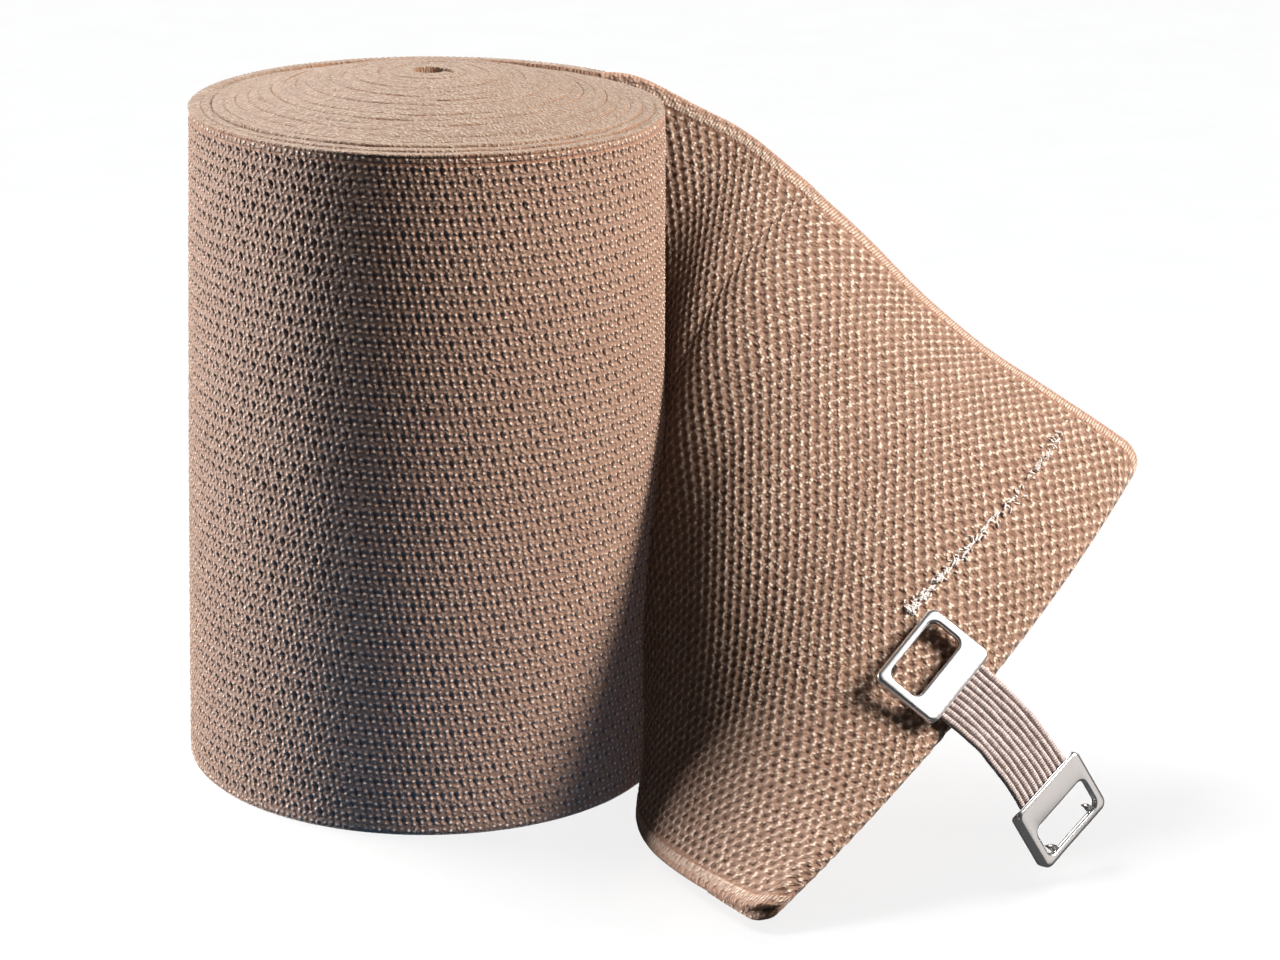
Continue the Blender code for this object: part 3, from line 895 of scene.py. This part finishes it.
def make_thread(material):
    """Two strands of white thread along the hem, which sink into the cloth here and there."""
    width = np.repeat(np.arange(*STITCH_SPAN, STITCH_PITCH), 2)
    strand = np.tile((-1.0, 1.0), len(width) // 2)
    step = np.linspace(-1.0, 1.0, 9)
    across = width[:, None] + 0.86 * step + 0.25 * strand[:, None]
    waver = 0.40 * wander(width, 4.0, 9.0) + 0.14 * strand + 0.10 * wander(width * 3.1 + strand, 1.0, 5.0)
    tilt = 0.30 * wander(width + 7 * strand, 8.0, 3.0)
    run = (stitch_line(width) + waver)[:, None] + tilt[:, None] * step
    bold = 0.9 - (width - STITCH_SPAN[0]) / 24.0
    show = 0.54 * ramp(wander(width + 4 * strand, 6.0, 7.0) + bold, -0.5, 0.4) - 0.10
    height = HALF_CLOTH - 0.14 + show[:, None] - 0.45 * step**4
    thick = 0.16 * np.sqrt(np.maximum(1.0 - step**6, 0.04))
    make_tubes("hem_stitches", on_tail(run, across, height), 6, thick, material)


def make_lint(material):
    """Short white fibres along the worn thread, closest together beside the clip."""
    dice = np.random.default_rng(4)
    step = np.linspace(-1.0, 1.0, 9)
    place = 49.0 + 44.0 * dice.random(LINT_COUNT) ** 2.6
    aside = 0.36 * dice.normal(size=LINT_COUNT)
    way = dice.random(LINT_COUNT) * 2 * math.pi
    reach = 0.20 + 0.28 * dice.random(LINT_COUNT)
    bow = 0.16 * dice.normal(size=LINT_COUNT)[:, None] * (1 - step**2)
    across = place[:, None] + (reach * np.cos(way))[:, None] * step - bow * np.sin(way)[:, None]
    run = (stitch_line(place) + aside)[:, None] + (reach * np.sin(way))[:, None] * step
    run = run + bow * np.cos(way)[:, None]
    height = HALF_CLOTH + 0.16 + 0.22 * dice.random(LINT_COUNT)[:, None] - 0.12 * step**2
    make_tubes("hem_lint", on_tail(run, across, height), 4, LINT_RADIUS - 0.07 * step**2, material)


# Clip

def clip_matrix():
    """Frame of the near plate in millimetres: +X along the tail, +Z off its face."""
    run = np.array([TAIL_LENGTH - CLIP_FROM_END])
    middle, along, across, normal = (f[0, 0] for f in tail_frames(run, np.array([[CLIP_SHARE]])))
    place = middle + normal * (HALF_CLOTH + CLIP_STAND_OFF) + AXIS
    matrix = np.eye(4)
    matrix[:3, 0], matrix[:3, 1], matrix[:3, 2], matrix[:3, 3] = along, across, normal, place
    return Matrix(matrix)


def elastic_frames(steps):
    """Frames from under the near plate, over the bend, to under the far plate."""
    frames = [Matrix.Translation((PLATE_DEPTH / 2 - ELASTIC_TUCK, 0.0, CORD_LEVEL))]
    here = frames[0] @ Matrix.Translation((ELASTIC_TUCK, 0.0, 0.0))
    frames.append(here.copy())
    half = math.radians(0.5 / steps)
    turn = Matrix.Rotation(CLIP_BEND * half, 4, "Y") @ Matrix.Rotation(CLIP_YAW * half, 4, "Z")
    ahead = Matrix.Translation((ELASTIC_SPAN / steps, 0.0, 0.0))
    for _ in range(steps):
        here = here @ turn @ ahead @ turn
        frames.append(here.copy())
    frames.append(here @ Matrix.Translation((ELASTIC_TUCK, 0.0, 0.0)))
    return frames


def moved(matrix, points):
    matrix = np.array(matrix)
    return points @ matrix[:3, :3].T + matrix[:3, 3]


def make_elastic(clip, material):
    """Ten covered cords side by side, each a little uneven."""
    frames = elastic_frames(CORD_STEPS)
    turn = np.linspace(0, 2 * math.pi, CORD_SIDES, endpoint=False)
    bends = (ELASTIC_TUCK + ELASTIC_SPAN * i / CORD_STEPS for i in range(CORD_STEPS + 1))
    length = np.array([0.0, *bends, 2 * ELASTIC_TUCK + ELASTIC_SPAN])
    points, uvs, faces = [], [], []
    for j in range(CORD_COUNT):
        middle = (j - (CORD_COUNT - 1) / 2) * CORD_PITCH
        along = np.clip((length - ELASTIC_TUCK) / ELASTIC_SPAN, 0, 1)
        free = np.clip(np.sin(along * math.pi), 0, 1) ** 0.5
        sway = middle * (1 - 0.035 * free) + 0.10 * free * wander(length, 2.0 + j, 6.0)
        bob = 0.08 * free * wander(length, 11.0 + 2 * j, 5.0)
        thick = CORD_RADIUS * (1.0 + 0.05 * wander(length, 20.0 + j, 1.4))
        for i, here in enumerate(frames):
            side = sway[i] + 1.03 * thick[i] * np.cos(turn)
            ring = np.stack((0 * turn, side, bob[i] + thick[i] * np.sin(turn)), -1)
            points.append(moved(clip @ here, ring))
            uvs.append(np.stack((length[i] + 0 * turn, turn / FULL_TURN + j), -1))
        ringed = grid_faces(len(frames), CORD_SIDES, closed=True)
        faces.append(ringed + j * len(frames) * CORD_SIDES)
    piece = make_piece(
        "clip_elastic_cords", np.concatenate(points), np.concatenate(faces), np.concatenate(uvs), material,
    )
    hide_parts("clip_elastic")


def rounded(middle, half_x, half_y, corner):
    """Rounded rectangle with its outward normals, point for point like any other."""
    points, ways = [], []
    for k, (sx, sy) in enumerate(((1, 1), (-1, 1), (-1, -1), (1, -1))):
        for angle in np.radians(np.linspace(k * 90, k * 90 + 90, 9)):
            way = np.array((math.cos(angle), math.sin(angle)))
            points.append(np.array((middle + sx * (half_x - corner), sy * (half_y - corner))) + way * corner)
            ways.append(way)
        nx, ny = ((-1, 1), (-1, -1), (1, -1), (1, 1))[k]
        start = points[-1]
        way = ways[-1]
        stop = np.array((middle + nx * (half_x - corner), ny * (half_y - corner))) + way * corner
        for t in (0.2, 0.4, 0.6, 0.8):
            points.append(start + (stop - start) * t)
            ways.append(way)
    return np.array(points), np.array(ways)


def make_plate(name, node, matrix, material):
    """Pressed plate: a rim rolled over its edges, and a window with a turned lip."""
    half_x, half_y = PLATE_DEPTH / 2, PLATE_LENGTH / 2
    _, ways = rounded(0.0, half_x, half_y, PLATE_CORNER)
    ends = ways[:, 1] ** 2
    foot = np.where(ways[:, 0] > 0, 1.28, 0.80) * (1 - ends)
    top = PLATE_HEIGHT
    bend = 0.55

    def outer(inward, height):
        xy, _ = rounded(0.0, half_x - inward, half_y - inward, max(PLATE_CORNER - inward, 0.12))
        return np.column_stack((xy, height + 0 * foot))

    def inner(outward, height):
        middle, wide, deep, corner = WINDOW
        xy, _ = rounded(middle, wide + outward, deep + outward, corner + outward)
        return np.column_stack((xy, height + 0 * foot))

    rings = [outer(SHEET, foot + 0.10), outer(0.34, foot), outer(0.10, foot), outer(0.0, foot + 0.10)]
    rings.append(outer(0.0, np.maximum(foot + 0.12, top - bend - 0.1)))
    for angle in np.radians((0, 18, 36, 54, 72, 90)):
        low = np.maximum(top - bend * (1 - math.sin(angle)), foot + 0.14)
        rings.append(outer(bend * (1 - math.cos(angle)), low))
    rings += [outer(0.85, top + 0.02), inner(0.42, top + 0.02)]
    for angle in np.radians((0, 30, 60, 90)):
        rings.append(inner(0.30 * (1 - math.sin(angle)), top - 0.30 * (1 - math.cos(angle))))
    lip = ((0.0, 0.75), (0.08, 0.82), (0.30, 0.78), (0.42, SHEET))
    rings += [inner(outward, top - down) for outward, down in lip]
    rings += [outer(0.95, top - SHEET), outer(0.62, np.maximum(top - SHEET - 0.1, foot + 0.12))]
    rings.append(outer(SHEET, np.maximum(top - bend - 0.25, foot + 0.11)))
    rings.append(rings[0])
    points = np.array(rings)
    count, around = points.shape[:2]
    dent = 0.05 * np.sin(points[..., 1] * 0.5 + 0.8) * np.sin(points[..., 0] * 0.45)
    points[..., 2] += dent * ramp(points[..., 2], 1.0, 1.6)
    faces = [grid_faces(count, around, closed=True, flip=True)]
    cloud = [moved(matrix, points.reshape(-1, 3))]
    uvs = [points[..., :2].reshape(-1, 2)]
    start = count * around
    for side in (-1, 1):
        tooth = []
        for x, y, z, half in TOOTH:
            for dx, dy in ((-0.16, -1), (0.16, -1), (0.16, 1), (-0.16, 1)):
                tooth.append((x + dx * (0.4 + half), side * (TOOTH_ASIDE + y) + dy * half, z))
        tooth = np.array(tooth)
        cloud.append(moved(matrix, tooth))
        uvs.append(tooth[:, :2])
        faces.append(grid_faces(len(TOOTH), 4, closed=True) + start)
        start += len(tooth)
    piece = make_piece(
        name, np.concatenate(cloud), np.concatenate(faces), np.concatenate(uvs), material
    )
    regroup(piece, STEEL)
    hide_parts(node)


def make_clip():
    clip = clip_matrix()
    make_elastic(clip, elastic_cord())
    steel = polished_steel()
    make_plate("near_plate", "near_clip_plate", clip, steel)
    end = elastic_frames(CORD_STEPS)[-2]
    turned = Matrix.Translation((PLATE_DEPTH / 2, 0.0, -CORD_LEVEL)) @ Matrix.Rotation(math.pi, 4, "Z")
    make_plate("far_plate", "far_clip_plate", clip @ end @ turned, steel)


# Surroundings, in metres, watts and degrees

FLOOR_HALF = 40.0
WALL_RADIUS = 6.0
WALL_HEIGHT = 5.0
WALL_SIDES = 48
CAMERA_PLACE = (-0.00302, -0.44417, 0.1916)
CAMERA_PITCH = 72.0
CAMERA_TWIST = 1.16
LENS = 90.0
SENSOR_WIDTH = 36.0
WORLD_COLOUR = (0.90, 0.95, 1.0, 1.0)
WORLD_STRENGTH = 0.045
WHITE = (1.0, 1.0, 1.0)
PALE = (1.0, 0.98, 0.96)

Lamp = namedtuple("Lamp", "name place aim size power colour group shadow")
LAMPS = (
    Lamp("key", (0.58, -0.11, 0.52), (0.02, -0.01, 0.04), (0.28, 0.28), 12.8,
         (1.0, 0.955, 0.905), DRESSED, True),
    Lamp("left", (-0.64, 0.14, 0.20), (-0.05, 0.0, 0.05), (0.20, 0.4), 10.4,
         (1.0, 0.97, 0.955), DRESSED, True),
    Lamp("flank", (0.80, -0.08, 0.20), (-0.03, 0.0, 0.05), (0.2, 0.3), 0.9,
         (1.0, 0.90, 0.85), ROLL, False),
    Lamp("bounce", (-0.034, -0.085, 0.003), (-0.034, -0.023, 0.012), (0.10, 0.01), 0.018,
         (0.08, 0.42, 1.0), ROLL, True),
    Lamp("corner", (0.018, -0.090, 0.003), (0.020, -0.046, 0.006), (0.05, 0.012), 0.0012,
         (1.0, 0.93, 0.85), DRESSED, True),
    Lamp("back", (-0.20, 0.62, 0.50), (-0.02, 0.0, 0.06), (0.5, 0.4), 2.2, PALE, DRESSED, True),
    Lamp("under", (0.17, 0.15, 0.006), (0.03, 0.0, 0.03), (0.2, 0.03), 0.22, PALE, CLOTH, True),
    Lamp("above_card", (0.0, 0.0, 1.2), (0.0, 0.0, 0.0), (1.6, 1.6), 0.9, WHITE, STEEL, True),
    Lamp("floor_card", (0.0, 0.0, -0.02), (0.0, 0.0, 1.0), (2.0, 2.0), 0.7, WHITE, STEEL, False),
    Lamp("rear_card", (0.4, 2.4, 0.7), (0.0, 0.0, 0.05), (4.5, 1.4), 4.2, WHITE, STEEL, True),
    Lamp("side_card", (-2.4, 0.4, 0.7), (0.0, 0.0, 0.05), (4.5, 1.4), 4.2, WHITE, STEEL, True),
    Lamp("near_card", (0.31, -0.32, 0.60), (0.038, -0.026, 0.03), (0.26, 0.26), 0.34,
         WHITE, STEEL, True),
    Lamp("far_card", (0.54, -0.14, 0.02), (0.056, -0.03, 0.01), (0.3, 0.3), 0.22,
         (1.0, 0.93, 0.88), STEEL, True),
)


def make_floor():
    look = Look("pale_floor")
    grain = look.noise(look.place(), 40.0, 3.0)
    look.colour(look.blend(grain, FLOOR_DEEP, FLOOR_LIGHT))
    look.set(Roughness=0.6)
    mesh = bpy.data.meshes.new("floor")
    corners = [(x * FLOOR_HALF, y * FLOOR_HALF, 0) for x, y in ((-1, -1), (1, -1), (1, 1), (-1, 1))]
    mesh.from_pydata(corners, [], [(0, 1, 2, 3)])
    mesh.materials.append(look.material)
    floor = bpy.data.objects.new("floor", mesh)
    floor.visible_diffuse = False
    floor.visible_glossy = False
    GROUND.objects.link(floor)


def make_backdrop():
    """White wall far round the floor, which only the camera sees."""
    look = Look("backdrop")
    look.set(Emission_Color=(1.0, 1.0, 1.0, 1.0), Emission_Strength=1.0, Base_Color=(0.0, 0.0, 0.0, 1.0))
    turn = np.linspace(0, 2 * math.pi, WALL_SIDES, endpoint=False)
    rim = [(WALL_RADIUS * math.cos(t), WALL_RADIUS * math.sin(t)) for t in turn]
    points = [(x, y, z) for z in (-0.01, WALL_HEIGHT) for x, y in rim]
    faces = []
    for i in range(WALL_SIDES):
        following = (i + 1) % WALL_SIDES
        faces.append((i, following, following + WALL_SIDES, i + WALL_SIDES))
    mesh = bpy.data.meshes.new("backdrop")
    mesh.from_pydata(points, [], faces)
    mesh.materials.append(look.material)
    wall = bpy.data.objects.new("backdrop", mesh)
    wall.visible_diffuse = False
    wall.visible_glossy = False
    wall.visible_shadow = False
    GROUND.objects.link(wall)


def make_light(row):
    """Soft box that lights the object. The floor has lamps of its own."""
    data = bpy.data.lights.new(row.name, "AREA")
    data.shape = "RECTANGLE"
    data.size, data.size_y = row.size
    data.energy = row.power
    data.color = row.colour
    data.use_shadow = row.shadow
    lamp = bpy.data.objects.new(row.name, data)
    lamp.visible_camera = False
    lamp.location = row.place
    lamp.rotation_euler = (Vector(row.aim) - Vector(row.place)).to_track_quat("-Z", "Y").to_euler()
    bpy.context.scene.collection.objects.link(lamp)
    lamp.light_linking.receiver_collection = row.group


def make_floor_light(name, strength, way, angle, shadow):
    """Sun for the floor alone."""
    data = bpy.data.lights.new(name, "SUN")
    data.energy = strength
    data.angle = math.radians(angle)
    data.use_shadow = shadow
    lamp = bpy.data.objects.new(name, data)
    lamp.rotation_euler = Vector(way).to_track_quat("-Z", "Y").to_euler()
    bpy.context.scene.collection.objects.link(lamp)
    lamp.light_linking.receiver_collection = GROUND


def make_lights():
    for row in LAMPS:
        make_light(row)
    make_floor_light("floor_wash", 3.1, (0.0, 0.0, -1.0), 5.0, False)
    make_floor_light("floor_shade", 0.7, (0.45, -0.30, -1.0), 24.0, True)
    world = bpy.data.worlds.new("studio")
    world.use_nodes = True
    world.node_tree.nodes["Background"].inputs["Color"].default_value = WORLD_COLOUR
    world.node_tree.nodes["Background"].inputs["Strength"].default_value = WORLD_STRENGTH
    bpy.context.scene.world = world
    bpy.context.scene.view_settings.view_transform = "Standard"


def make_camera():
    data = bpy.data.cameras.new("camera")
    data.lens = LENS
    data.sensor_width = SENSOR_WIDTH
    camera = bpy.data.objects.new("camera", data)
    camera.matrix_world = (
        Matrix.Translation(CAMERA_PLACE)
        @ Matrix.Rotation(math.radians(CAMERA_PITCH), 4, "X")
        @ Matrix.Rotation(math.radians(CAMERA_TWIST), 4, "Z")
    )
    bpy.context.scene.collection.objects.link(camera)
    bpy.context.scene.camera = camera


def main():
    outer = knit_outer()
    inner = knit_inner()
    make_turns(knit_edge())
    for wrap in WRAPS:
        make_wrap(wrap, outer)
    make_tail(outer, inner)
    thread = white_thread()
    make_thread(thread)
    make_lint(thread)
    make_clip()
    make_floor()
    make_backdrop()
    make_lights()
    make_camera()


main()
